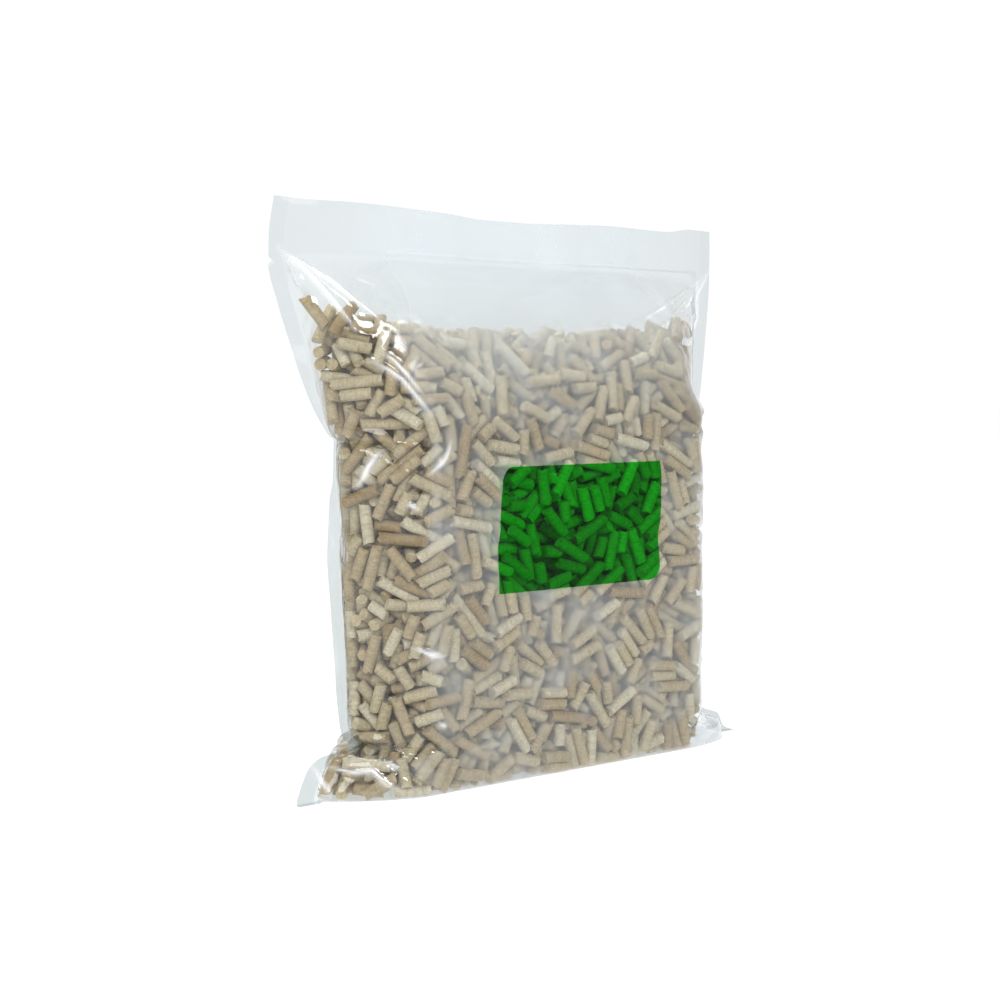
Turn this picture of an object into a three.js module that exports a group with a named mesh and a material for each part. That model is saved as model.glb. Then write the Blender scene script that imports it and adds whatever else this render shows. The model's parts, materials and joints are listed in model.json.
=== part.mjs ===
// A welded clear film bag, standing upright, filled with short pellets of compressed wood.
// Millimetres, +Z up, front face towards -Y. The origin is on the floor under the bag's middle.
import * as THREE from 'three';

// Driving dimensions
const HEIGHT = 292;            // floor to top edge, as the filled bag stands
const FLAT_WIDTH = 305;        // the empty bag across, weld edge to weld edge
const FILM = 0.6;              // wall that stands for the 0.1 mm film
const WELD_GAP = 0.3;          // space between the two webs along their welds
const FILL_GAP = 1.5;          // space between the film and the packed pellets
const WELD_CLEARANCE = 2;      // space between the side welds and the packed pellets
const TOP_WELD = 25;           // height of the flat band along the top
const SIDE_WELD = 12;          // width of the flat fins down the sides
const EAR_FOOT = 2;            // half width of the weld's edge where an ear lies on the floor
const FLOOR_ROUND = 7;         // radius where the walls turn under the bag
const FILL_HEIGHT = 231;       // floor to the top of the packed pellets
const PELLET_DIAMETER = 6;
const PELLET_LENGTH = 15;
const LOOSE_PITCH = { x: 19, y: 13 };   // spacing of the loose pellets on top
const LOOSE_CLEARANCE = 1.5;   // least space between a loose pellet and the film

// Mesh density
const FACE_COLUMNS = 22;       // across a web, between its side welds
const FLOOR_ROWS = 3;          // under the bag, from the welds' plane to the walls' foot
const ROUND_ROWS = 3;          // up the round foot of a wall
const WALL_ROWS = 14;          // from there to the top of the pellets
const HEAD_ROWS = 5;           // from the pellets to the top weld
const PELLET_SIDES = 8;

// Shape of the filled bag, each as [height above the floor, value]
const EDGE = [                 // half width, out to the edges of the side welds
  [0, 149.5], [5, 145], [14, 137], [20, 129], [25, 120], [36, 121], [60, 121], [105, 121.5],
  [122, 120], [130, 121], [153, 120.5], [172, 119], [180, 122.5], [190, 130.5], [211, 138],
  [232, 144], [260, 151], [HEIGHT, FLAT_WIDTH / 2],
];
const MIDDLE = [               // how far the bag's middle line leans to its right
  [0, 0.5], [14, -5], [20, -5], [25, 4], [60, 2.5], [105, 0.5], [122, -1], [153, 3],
  [190, 3], [211, 1], [232, -1], [260, -2.5], [HEIGHT, 1],
];
const SHOULDER = [             // half width of the nearly flat front and back faces
  [0, 88], [30, 86], [170, 85], [215, 87], [250, 93], [HEIGHT, 95],
];
const ROUNDNESS = [            // how a wall swells out from its weld: 1 straight, 2 elliptic
  [0, 1.6], [170, 1.6], [205, 1.3], [HEIGHT, 1.3],
];
const DEPTH = [                // half depth in the middle of a face
  [0, 42], [40, 43], [110, 45], [170, 43], [205, 38], [228, 30], [248, 16],
  [HEIGHT - TOP_WELD, 0], [HEIGHT, 0],
];
const SEAM = [                 // where the plane of the welds lies, front to back
  [0, -12], [25, -6], [60, 0], [200, 1], [HEIGHT, 5],
];
const TWIST = [                // how far that plane turns back at its right end
  [0, 0], [180, 0], [HEIGHT, 6],
];

// Monotone cubic interpolation through [height, value] stations.
function station(table, z) {
  const last = table.length - 1;
  if (z <= table[0][0]) return table[0][1];
  if (z >= table[last][0]) return table[last][1];
  const slope = (i) => (table[i + 1][1] - table[i][1]) / (table[i + 1][0] - table[i][0]);
  const tangent = (i) => {
    if (i === 0) return slope(0);
    if (i === last) return slope(last - 1);
    const [before, after] = [slope(i - 1), slope(i)];
    return before * after <= 0 ? 0 : (2 * before * after) / (before + after);
  };
  const i = table.findIndex((row) => row[0] > z) - 1;
  const span = table[i + 1][0] - table[i][0];
  const t = (z - table[i][0]) / span;
  return (2 * t ** 3 - 3 * t ** 2 + 1) * table[i][1]
    + (t ** 3 - 2 * t ** 2 + t) * span * tangent(i)
    + (3 * t ** 2 - 2 * t ** 3) * table[i + 1][1]
    + (t ** 3 - t ** 2) * span * tangent(i + 1);
}

// Half width between the inner lines of the side welds.
const weldLine = (z) => station(EDGE, z) - SIDE_WELD;

// A point given across the bag from its middle line, which leans a little.
const placed = (x, y, z) => new THREE.Vector3(x + station(MIDDLE, z), y, z);

// How fully a point lies on the flat faces: 1 in their middle, 0 on the welds.
function faceShare(x, z) {
  const run = (weldLine(z) - Math.abs(x)) / (weldLine(z) - station(SHOULDER, z));
  const left = 1 - THREE.MathUtils.clamp(run, 0, 1);
  const power = station(ROUNDNESS, z);
  return (1 - left ** power) ** (1 / power);
}

// Half the depth of the bag at a point of its faces.
function halfDepth(x, z) {
  const left = Math.max(FLOOR_ROUND + FILM - Math.max(z, FILM), 0);
  const inset = FLOOR_ROUND - Math.sqrt(FLOOR_ROUND ** 2 - left ** 2);
  return Math.max(station(DEPTH, z) * faceShare(x, z) - inset, 0);
}

// Y halfway between the two webs: the welds' plane at the sides, the bag's middle inside.
function middleY(x, z) {
  const welds = station(SEAM, z) + (station(TWIST, z) * x) / (FLAT_WIDTH / 2);
  return z > HEIGHT - TOP_WELD ? welds : welds * (1 - faceShare(x, z));
}

// Heights of the grid's rows: round foot, wall, headspace and top weld.
function rowHeights() {
  const heights = [];
  for (let i = 0; i < ROUND_ROWS; i++) {
    heights.push(FILM + FLOOR_ROUND * (1 - Math.cos((i / ROUND_ROWS) * (Math.PI / 2))));
  }
  const foot = FILM + FLOOR_ROUND;
  for (let i = 0; i < WALL_ROWS; i++) {
    heights.push(foot + ((FILL_HEIGHT - foot) * i) / WALL_ROWS);
  }
  const weld = HEIGHT - TOP_WELD;
  for (let i = 0; i < HEAD_ROWS; i++) {
    heights.push(FILL_HEIGHT + ((weld - FILL_HEIGHT) * i) / HEAD_ROWS);
  }
  return [...heights, weld, HEIGHT];
}

// X of the grid's columns at one height, closer together towards the welds.
function columnsAt(z) {
  return Array.from({ length: FACE_COLUMNS + 1 }, (_, i) => {
    const u = (2 * i) / FACE_COLUMNS - 1;
    return weldLine(z) * Math.sin((u * Math.PI) / 2);
  });
}

// The inside of one web as rows of points, from under the bag up to its top edge.
// side is -1 for the front web and 1 for the back one.
function webRows(side) {
  const pointsAt = (z, share) => {
    const xs = [-station(EDGE, z), ...columnsAt(z), station(EDGE, z)];
    return xs.map((x) => {
      const off = z === FILM ? Math.max(halfDepth(x, z), EAR_FOOT) : halfDepth(x, z);
      return placed(x, middleY(x, z) + side * (share * off + WELD_GAP / 2), z);
    });
  };
  const rows = [];
  for (let i = 0; i < FLOOR_ROWS; i++) rows.push(pointsAt(FILM, i / FLOOR_ROWS));
  rowHeights().forEach((z) => rows.push(pointsAt(z, 1)));
  return rows;
}

function solid(points, faces, name, colour, roughness) {
  const geometry = new THREE.BufferGeometry();
  const positions = points.flatMap((p) => [p.x, p.y, p.z]);
  geometry.setAttribute('position', new THREE.Float32BufferAttribute(positions, 3));
  geometry.setIndex(faces);
  geometry.computeVertexNormals();
  const material = new THREE.MeshStandardMaterial({ color: colour, roughness, metalness: 0 });
  const mesh = new THREE.Mesh(geometry, material);
  mesh.name = name;
  return mesh;
}

// Adds the two triangles of a four-sided face.
const addQuad = (faces, a, b, c, d) => faces.push(a, b, c, a, c, d);

// A film web: its inside grid, the same grid one wall further out, and the rims between.
function filmWeb(side, name) {
  const rows = webRows(side);
  const [lastRow, lastColumn] = [rows.length - 1, rows[0].length - 1];
  const outer = rows.map((row, r) => row.map((p, c) => {
    const along = row[Math.min(c + 1, lastColumn)].clone().sub(row[Math.max(c - 1, 0)]);
    const up = rows[Math.min(r + 1, lastRow)][c].clone().sub(rows[Math.max(r - 1, 0)][c]);
    const q = p.clone().addScaledVector(along.cross(up).normalize(), -side * FILM);
    q.z = r <= FLOOR_ROWS ? 0 : q.z;
    return q;
  }));
  const width = lastColumn + 1;
  const inside = (r, c) => r * width + c;
  const outside = (r, c) => (lastRow + 1) * width + r * width + c;
  const faces = [];
  for (let r = 0; r < lastRow; r++) {
    for (let c = 0; c < lastColumn; c++) {
      addQuad(faces, outside(r, c), outside(r, c + 1), outside(r + 1, c + 1), outside(r + 1, c));
      addQuad(faces, inside(r, c), inside(r + 1, c), inside(r + 1, c + 1), inside(r, c + 1));
    }
    addQuad(faces, inside(r, 0), outside(r, 0), outside(r + 1, 0), inside(r + 1, 0));
    const [low, high] = [inside(r, lastColumn), inside(r + 1, lastColumn)];
    addQuad(faces, outside(r, lastColumn), low, high, outside(r + 1, lastColumn));
  }
  for (let c = 0; c < lastColumn; c++) {
    addQuad(faces, outside(0, c), inside(0, c), inside(0, c + 1), outside(0, c + 1));
    const [left, right] = [inside(lastRow, c), inside(lastRow, c + 1)];
    addQuad(faces, left, outside(lastRow, c), outside(lastRow, c + 1), right);
  }
  if (side > 0) faces.reverse();       // the back web is the front one mirrored
  return solid([...rows.flat(), ...outer.flat()], faces, name, 0xe4eaec, 0.15);
}

// The packed pellets as one body: it follows the film inside and is flat on top.
function pelletFill() {
  const bottom = FILM + FILL_GAP;
  const heights = rowHeights().filter((z) => z > bottom && z < FILL_HEIGHT);
  const rings = [bottom, ...heights, FILL_HEIGHT].map((z) => {
    const reach = weldLine(z) - WELD_CLEARANCE;
    const xs = columnsAt(z).map((x) => THREE.MathUtils.clamp(x, -reach, reach));
    const gap = z === bottom ? FILL_GAP + FILM : FILL_GAP;
    const sideOf = (side) => xs.map((x) => {
      const off = Math.max(halfDepth(x, z) - gap, WELD_GAP / 2);
      return placed(x, middleY(x, z) + side * off, z);
    });
    return [...sideOf(-1), ...sideOf(1).reverse()];
  });
  const around = rings[0].length;
  const faces = [];
  for (let r = 0; r < rings.length - 1; r++) {
    for (let k = 0; k < around; k++) {
      const next = (k + 1) % around;
      const [low, high] = [r * around, (r + 1) * around];
      const onFront = k < around / 2;
      if (onFront) addQuad(faces, low + k, low + next, high + next, high + k);
      else addQuad(faces, low + next, high + next, high + k, low + k);
    }
  }
  const top = (rings.length - 1) * around;
  for (let k = 0; k < around / 2 - 1; k++) {
    const across = around - 1 - k;
    addQuad(faces, k, across, across - 1, k + 1);
    addQuad(faces, top + k, top + k + 1, top + across - 1, top + across);
  }
  return solid(rings.flat(), faces, 'pellet_fill', 0xb99b6e, 0.9);
}

// One pellet: a short rod pressed through a round die and snapped off.
function pellet(index, x, y, turn) {
  const radius = PELLET_DIAMETER / 2;
  const geometry = new THREE.CylinderGeometry(radius, radius, PELLET_LENGTH, PELLET_SIDES);
  const material = new THREE.MeshStandardMaterial({ color: 0xc2a274, roughness: 0.9, metalness: 0 });
  const mesh = new THREE.Mesh(geometry, material);
  mesh.name = `loose_pellet_${String(index).padStart(2, '0')}`;
  mesh.rotation.set(0, 0, turn);
  mesh.position.copy(placed(x, y, FILL_HEIGHT + WELD_GAP + radius));
  return mesh;
}

// The top layer: rows of pellets that lie on the packed ones, wherever the film leaves room.
function loosePellets() {
  const pellets = [];
  const z = FILL_HEIGHT + WELD_GAP + PELLET_DIAMETER;
  const columns = Math.floor(weldLine(z) / LOOSE_PITCH.x);
  for (let row = -1; row <= 1; row++) {
    for (let column = -columns; column <= columns; column++) {
      const x = (column + (row === 0 ? 0 : 0.5)) * LOOSE_PITCH.x;
      const away = Math.abs(row) * LOOSE_PITCH.y + PELLET_DIAMETER + LOOSE_CLEARANCE;
      const end = Math.abs(x) + PELLET_LENGTH / 2 + LOOSE_CLEARANCE;
      if (halfDepth(end, z) < away) continue;
      const turn = Math.PI / 2 + 0.35 * Math.sin(7 * column + 3 * row);
      pellets.push(pellet(pellets.length + 1, x, middleY(x, z) + row * LOOSE_PITCH.y, turn));
    }
  }
  return pellets;
}

const bag = new THREE.Group();
bag.name = 'filled_bag';
bag.add(filmWeb(-1, 'front_film'), filmWeb(1, 'back_film'), pelletFill(), ...loosePellets());

export default bag;
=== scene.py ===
# %% [markdown]
# # A bag of wood pellets in clear film
#
# The object is a flat pouch of polyethylene film, welded round its edges, that has been
# filled with short rods of compressed wood and stood up on its end. Three things make it
# look real: thousands of separate pellets that lie as packed pellets lie, a thin film with
# its welds, creases and ears, and the way the film changes what is seen through it.
#
# The construction model is loaded first. It gives the size and the place of everything, and
# nothing here moves or resizes it.

# %% Load the frame
import json
import math

import bmesh
import bpy
import numpy as np
from mathutils import Matrix, Vector
from mathutils.bvhtree import BVHTree

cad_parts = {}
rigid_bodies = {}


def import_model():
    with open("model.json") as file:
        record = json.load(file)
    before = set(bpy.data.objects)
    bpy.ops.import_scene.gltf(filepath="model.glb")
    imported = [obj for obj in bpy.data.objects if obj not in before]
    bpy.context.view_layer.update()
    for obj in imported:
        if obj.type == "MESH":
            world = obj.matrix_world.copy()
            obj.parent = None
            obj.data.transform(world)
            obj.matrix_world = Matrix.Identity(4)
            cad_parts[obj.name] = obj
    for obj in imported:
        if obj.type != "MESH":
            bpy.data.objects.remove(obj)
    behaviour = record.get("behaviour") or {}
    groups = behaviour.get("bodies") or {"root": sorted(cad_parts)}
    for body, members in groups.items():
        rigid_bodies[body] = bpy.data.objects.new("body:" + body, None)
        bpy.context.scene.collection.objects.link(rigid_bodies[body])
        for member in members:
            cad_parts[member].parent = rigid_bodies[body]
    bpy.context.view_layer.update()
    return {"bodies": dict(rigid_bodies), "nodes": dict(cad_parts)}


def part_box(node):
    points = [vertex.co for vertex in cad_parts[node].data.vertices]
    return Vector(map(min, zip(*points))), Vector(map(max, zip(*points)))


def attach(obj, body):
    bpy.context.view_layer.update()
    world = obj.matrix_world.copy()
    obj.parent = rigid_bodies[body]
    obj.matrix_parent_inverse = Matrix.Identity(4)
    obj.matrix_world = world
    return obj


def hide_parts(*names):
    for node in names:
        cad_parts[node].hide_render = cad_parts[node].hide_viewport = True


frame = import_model()
BODY = next(iter(frame["bodies"]))
LOOSE = sorted(name for name in frame["nodes"] if name.startswith("loose_pellet"))
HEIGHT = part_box("front_film")[1].z
FLAT_WIDTH = 0.305
print(f"bag {FLAT_WIDTH:.3f} m wide when flat, {HEIGHT:.3f} m tall, {len(LOOSE)} loose pellets")

# %% [markdown]
# ## The shape of the filled bag
#
# A welded pouch has no pattern pieces that could be drawn one by one. Its shape comes from
# what is inside: flat front and back where the pellets press, round shoulders towards the
# side welds, and a slope from the pellets' level up to the flat weld along the top. It could
# be sculpted, or blown up by a cloth simulation, but then its outline would be whatever came
# out. Here it is lofted instead, from a few curves over the height: where each side edge
# runs, where the flat faces end, and how deep the bag is.

# %% Curves over the height
TOP_WELD = 0.025      # height of the flat band along the top
FLOOR_ROUND = 0.007   # radius where the walls turn under the bag


def curve(stations):
    """A smooth curve through (height, value) pairs that never overshoots them."""
    z, v = np.array(stations, float).T
    step = np.diff(z)
    slope = np.diff(v) / step
    tangent = np.concatenate([slope[:1], np.zeros(len(z) - 2), slope[-1:]])
    same = slope[:-1] * slope[1:] > 0
    both = np.where(same, slope[:-1] + slope[1:], 1.0)
    tangent[1:-1] = np.where(same, 2 * slope[:-1] * slope[1:] / both, 0)

    def at(height):
        q = np.clip(height, z[0], z[-1])
        i = np.clip(np.searchsorted(z, q, side="right") - 1, 0, len(step) - 1)
        t = (q - z[i]) / step[i]
        ends = (2 * t**3 - 3 * t**2 + 1) * v[i] + (3 * t**2 - 2 * t**3) * v[i + 1]
        pull = (t**3 - 2 * t**2 + t) * tangent[i] + (t**3 - t**2) * tangent[i + 1]
        return ends + pull * step[i]

    return at


left_edge = curve([  # x of the left side weld's outer edge
    (0, -0.149), (0.002, -0.1488), (0.007, -0.1462), (0.012, -0.143), (0.0165, -0.1395),
    (0.0195, -0.135), (0.0212, -0.130), (0.0222, -0.120), (0.0245, -0.1143), (0.028, -0.1175),
    (0.035, -0.1187), (0.055, -0.1184), (0.077, -0.1195), (0.112, -0.1213), (0.134, -0.1198),
    (0.146, -0.1189), (0.155, -0.1174), (0.175, -0.1172), (0.1775, -0.1201), (0.196, -0.131),
    (0.2196, -0.1404), (0.24, -0.148), (0.2608, -0.1541), (0.272, -0.154), (HEIGHT, -0.151),
])
right_edge = curve([  # x of the right side weld's outer edge
    (0, 0.150), (0.003, 0.1434), (0.0105, 0.141), (0.0137, 0.132), (0.018, 0.124),
    (0.037, 0.1235), (0.063, 0.1235), (0.105, 0.122), (0.1216, 0.119), (0.1307, 0.1225),
    (0.1528, 0.1235), (0.17, 0.121), (0.18, 0.124), (0.187, 0.1323), (0.195, 0.135),
    (0.211, 0.139), (0.242, 0.145), (0.2825, 0.1515), (HEIGHT, 0.152),
])
left_fin = curve([  # how wide the left weld's flat fin shows
    (0, 0.012), (0.018, 0.010), (0.03, 0.006), (0.055, 0.0075), (0.1, 0.008), (0.134, 0.0065),
    (0.15, 0.004), (0.158, 0.002), (0.174, 0.002), (0.196, 0.006), (0.21, 0.008),
    (0.23, 0.010), (HEIGHT, 0.012),
])
right_fin = curve([(0, 0.012), (0.16, 0.012), (0.18, 0.009), (0.2, 0.011), (HEIGHT, 0.012)])
left_shoulder = curve([  # x where the flat face begins on the left
    (0, -0.090), (0.03, -0.085), (0.1, -0.084), (0.17, -0.084), (0.215, -0.088),
    (0.25, -0.095), (HEIGHT, -0.095),
])
right_shoulder = curve([(0, 0.086), (0.17, 0.084), (0.215, 0.086), (HEIGHT, 0.095)])
right_roundness = curve([(0, 2.3), (0.17, 2.3), (0.205, 1.2), (HEIGHT, 1.2)])
face_depth = curve([  # how far each face stands off the plane of the welds
    (0, 0.042), (0.04, 0.043), (0.11, 0.0445), (0.17, 0.043), (0.205, 0.038),
    (0.228, 0.030), (0.248, 0.016), (HEIGHT - TOP_WELD, 0), (HEIGHT, 0),
])
weld_plane = curve([  # y of that plane in the middle
    (0, -0.014), (0.018, -0.009), (0.03, -0.005), (0.06, 0), (0.2, 0.001), (HEIGHT, 0.005),
])
top_twist = curve([(0, 0), (0.18, 0), (HEIGHT, 0.006)])

# %% How deep the bag is at any place
LEFT_ROUNDNESS = {-1: 1.35, 1: 1.1}   # of the front web and of the back web
BACK_SHOULDER = 0.012                 # how much wider the back web's left shoulder is


def wall(distance, width, roundness):
    """How far a wall has come out, from 0 on a weld to 1 where the flat face begins."""
    left = 1 - np.clip(distance / width, 0, 1)
    return (1 - left**roundness) ** (1 / roundness)


def face_share(x, z, side=-1):
    """How fully a point lies on the flat face: 1 in its middle, 0 on the side welds."""
    left, right = left_edge(z) + left_fin(z), right_edge(z) - right_fin(z)
    left_width = left_shoulder(z) - left + (BACK_SHOULDER if side > 0 else 0)
    return wall(x - left, left_width, LEFT_ROUNDNESS[side]) * wall(
        right - x, right - right_shoulder(z), right_roundness(z)
    )


def web_depth(x, z, side):
    """How far one web stands off the plane of the welds, turned under at the floor."""
    below = np.clip(FLOOR_ROUND - z, 0, FLOOR_ROUND)
    inset = FLOOR_ROUND - np.sqrt(FLOOR_ROUND**2 - below**2)
    return np.maximum(face_depth(z) * face_share(x, z, side) - inset, 0)


def half_depth(x, z):
    """Half the depth of the bag at x and z."""
    return (web_depth(x, z, -1) + web_depth(x, z, 1)) / 2


def middle(x, z):
    """Y halfway between the webs: the plane of the welds at the sides, near 0 inside."""
    welds = weld_plane(z) + top_twist(z) * x / (FLAT_WIDTH / 2)
    inside = welds * (1 - face_share(x, z))
    lean = (web_depth(x, z, 1) - web_depth(x, z, -1)) / 2
    return np.where(z > HEIGHT - TOP_WELD, welds, inside) + lean


print(f"depth {2 * float(half_depth(0.0, 0.1)) * 1000:.0f} mm at the panel's height")

# %% [markdown]
# ## Packing the pellets
#
# Real pellets are poured in and shaken, so they lie every way but lean against the film
# where they touch it. Scattering rods at random gives the right directions but lets them
# pass through each other, and a rigid body simulation of four thousand rods is slow. So each
# pellet is treated as a capsule, a straight line with a radius. The lines start at random,
# and in each round every pair that is too close is pushed apart and turned at the point
# where it touches, while the film and the floor push the ends back inside.

# %% How many pellets, and how high they lie
PELLET_RADIUS = 0.003
PELLET_COUNT = 4400
PELLET_LENGTHS = (0.007, 0.0165, 0.026)    # shortest, usual and longest
LENGTH_SPREAD = 0.0042
ROUNDS = 170
END_SHARE = 0.45          # how much of its radius a pellet's rounded end gives up
LAY_FLAT = 0.12           # how fast the pellets at the film turn to lie against it
EMPTY_EAR, EAR_HEIGHT = 0.100, 0.02        # the right ear is empty from this x, below this z
LEVEL, HEAP = 0.234, 0.013                 # the level, and how much higher it is at the sides
RECESS = 0.005            # how far the topmost pellets keep off the flat faces
WALL_GAP = 0.0033         # from a poured pellet's middle to the film
rng = np.random.default_rng(11)


def pellet_level(x):
    """The height of the pellets' surface: level in the middle, heaped up at both sides."""
    return LEVEL + HEAP * np.clip((np.abs(x - 0.002) - 0.085) / 0.04, 0, 1)


class Field:
    """A function of x and z, worked out once on a grid and read back from it quickly."""

    xs, zs = np.linspace(-0.16, 0.16, 161), np.linspace(0, 0.3, 151)

    def __init__(self, values):
        self.values = values

    def __call__(self, x, z):
        across = np.clip((x - self.xs[0]) / (self.xs[1] - self.xs[0]), 0, len(self.xs) - 1.001)
        up = np.clip((z - self.zs[0]) / (self.zs[1] - self.zs[0]), 0, len(self.zs) - 1.001)
        i, k = across.astype(int), up.astype(int)
        a, b = across - i, up - k
        v = self.values
        low = v[i, k] * (1 - a) + v[i + 1, k] * a
        return low * (1 - b) + (v[i, k + 1] * (1 - a) + v[i + 1, k + 1] * a) * b


grid_x, grid_z = np.meshgrid(Field.xs, Field.zs, indexing="ij")
recess = RECESS * np.clip((grid_z - 0.19) / 0.04, 0, 1) * face_share(grid_x, grid_z) ** 4
room = Field(np.maximum(half_depth(grid_x, grid_z) - recess, 0))
centre = Field(middle(grid_x, grid_z) * (grid_z < HEIGHT - TOP_WELD))
slope_x, slope_z = (Field(g) for g in np.gradient(room.values, Field.xs, Field.zs))


def pour(count):
    """Random places inside the bag, below the pellets' level, and a random way for each."""
    places = np.empty((0, 3))
    while len(places) < count:
        p = rng.uniform((-0.15, -0.045, 0.003), (0.15, 0.045, 0.25), (20000, 3))
        inside = np.abs(p[:, 1] - centre(p[:, 0], p[:, 2])) < room(p[:, 0], p[:, 2]) - WALL_GAP
        inside &= (p[:, 2] > EAR_HEIGHT) | (p[:, 0] < EMPTY_EAR)
        below = p[:, 2] < pellet_level(p[:, 0]) - PELLET_RADIUS
        places = np.vstack([places, p[inside & below]])
    ways = rng.normal(size=(count, 3)) * (1, 0.45, 1)
    return places[:count], ways / np.linalg.norm(ways, axis=1)[:, None]


places, ways = pour(PELLET_COUNT)
low, usual, high = PELLET_LENGTHS
lengths = np.clip(rng.normal(usual, LENGTH_SPREAD, PELLET_COUNT), low, high)
reach = lengths / 2 - END_SHARE * PELLET_RADIUS
print(f"{PELLET_COUNT} pellets poured, {lengths.mean() * 1000:.1f} mm long on average")


# %% Push them apart
SETTLE = 0.00002          # how far every pellet sinks in a round
LONGEST_PUSH = 0.003
REACH_OF_PAIRS, MARGIN = 0.032, 0.003      # how near two pellets lie to be looked at again
PAIRS_FOR = 13            # rounds for which a list of pairs holds


def close_pairs(limit):
    """Every pair of pellets whose middles are nearer than limit."""
    first, second = [], []
    for start in range(0, PELLET_COUNT, 600):
        apart = places[start : start + 600, None] - places[None]
        i, j = np.nonzero((apart.astype(np.float32) ** 2).sum(2) < limit**2)
        keep = i + start < j
        first.append(i[keep] + start)
        second.append(j[keep])
    return np.concatenate(first), np.concatenate(second)


def nearest(i, j):
    """Where two pellets' middle lines come closest, and the vector between those points."""
    between = places[i] - places[j]
    turn = (ways[i] * ways[j]).sum(1)
    e, f = (ways[i] * between).sum(1), (ways[j] * between).sum(1)
    s = np.clip((turn * f - e) / np.maximum(1 - turn**2, 1e-9), -reach[i], reach[i])
    t = np.clip(turn * s + f, -reach[j], reach[j])
    s = np.clip(turn * t - e, -reach[i], reach[i])
    return s, t, between + s[:, None] * ways[i] - t[:, None] * ways[j]


def push_apart(i, j):
    """Moves and turns each pair that overlaps, and returns how deep the overlaps were."""
    s, t, gap = nearest(i, j)
    distance = np.sqrt((gap**2).sum(1)) + 1e-9
    touching = distance < 2 * PELLET_RADIUS
    i, j, s, t = i[touching], j[touching], s[touching], t[touching]
    away = gap[touching] / distance[touching][:, None]
    depth = 2 * PELLET_RADIUS - distance[touching]
    inertia = (reach + PELLET_RADIUS) ** 2 / 3
    share = depth / (2 + s**2 / inertia[i] + t**2 / inertia[j])
    for axis in range(3):
        force = share * away[:, axis]
        moved = np.bincount(i, force, PELLET_COUNT) - np.bincount(j, force, PELLET_COUNT)
        turned = np.bincount(i, force * s / inertia[i], PELLET_COUNT)
        turned -= np.bincount(j, force * t / inertia[j], PELLET_COUNT)
        places[:, axis] += 0.7 * moved
        ways[:, axis] += 0.7 * turned
    return depth


def push_inside(sign):
    """Keeps one end of every pellet inside the film, above the floor and below the level."""
    end = places + sign * reach[:, None] * ways
    x, y, z = end.T
    side = np.where(y > centre(x, z), 1, -1)
    gx, gz = slope_x(x, z), slope_z(x, z)
    steep = np.sqrt(1 + gx**2 + gz**2)
    over = np.abs(y - centre(x, z)) - room(x, z) + 1.02 * PELLET_RADIUS * steep
    push = np.maximum(over, 0) / steep**2
    move = np.clip(np.stack([push * gx, -side * push, push * gz], 1),
                   -LONGEST_PUSH, LONGEST_PUSH)
    move[:, 2] += np.maximum(1.1 * PELLET_RADIUS - z, 0)
    move[:, 0] -= np.where(z < EAR_HEIGHT, np.maximum(x - EMPTY_EAR, 0), 0) * 0.5
    move[:, 2] -= 0.5 * np.maximum(z + PELLET_RADIUS - pellet_level(x), 0)
    places[:] += 0.5 * move
    ways[:] += sign * 0.5 * move / reach[:, None]


def lay_flat():
    """Turns the pellets next to the film towards lying flat against it."""
    x, y, z = places.T
    gx, gz = slope_x(x, z), slope_z(x, z)
    steep = np.sqrt(1 + gx**2 + gz**2)
    outward = np.stack([-gx, np.where(y > centre(x, z), 1, -1), -gz], 1) / steep[:, None]
    deep = (room(x, z) - np.abs(y - centre(x, z))) / steep
    pull = LAY_FLAT * np.clip(2 - deep / (2 * PELLET_RADIUS), 0, 1)
    ways[:] -= (pull * (ways * outward).sum(1))[:, None] * outward


for step in range(ROUNDS):
    if step % PAIRS_FOR == 0:
        first, second = close_pairs(REACH_OF_PAIRS)
        gaps = np.linalg.norm(nearest(first, second)[2], axis=1)
        near = gaps < 2 * PELLET_RADIUS + MARGIN
        first, second = first[near], second[near]
    overlap = push_apart(first, second)
    ways /= np.linalg.norm(ways, axis=1)[:, None]
    places[:, 2] -= SETTLE
    push_inside(1)
    push_inside(-1)
    lay_flat()
    ways /= np.linalg.norm(ways, axis=1)[:, None]
print(f"{len(overlap)} touching pairs, {overlap.mean() * 1000:.2f} mm into each other on average")

# %% Leave out the few that were squeezed through the film
OUTSIDE = 0.0008          # a pellet may press this far into the film


def outside(sign):
    """Which pellets have one end through the film or over a weld."""
    x, y, z = (places + sign * reach[:, None] * ways).T
    over = np.abs(y - centre(x, z)) + PELLET_RADIUS - room(x, z)
    return (over > OUTSIDE) | (x < left_edge(z) + left_fin(z)) | (x > right_edge(z) - right_fin(z))


kept = ~(outside(1) | outside(-1) | outside(0))
places, ways, lengths, reach = places[kept], ways[kept], lengths[kept], reach[kept]
PELLET_COUNT = len(places)
print(f"{PELLET_COUNT} pellets are inside the film")

# %% [markdown]
# ## One pellet
#
# A pellet is pressed through a round die and snaps off, so its side is smooth and round and
# its ends are ragged and a little uneven. A few different ones are enough: every pellet is a
# stretched and turned copy of one of them. Each has only a few dozen faces, because there
# are thousands, and the wood's grain and cracks are left to the material.

# %% A few pellets to copy
KINDS = 6
KIND_LENGTH = PELLET_LENGTHS[1]


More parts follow.
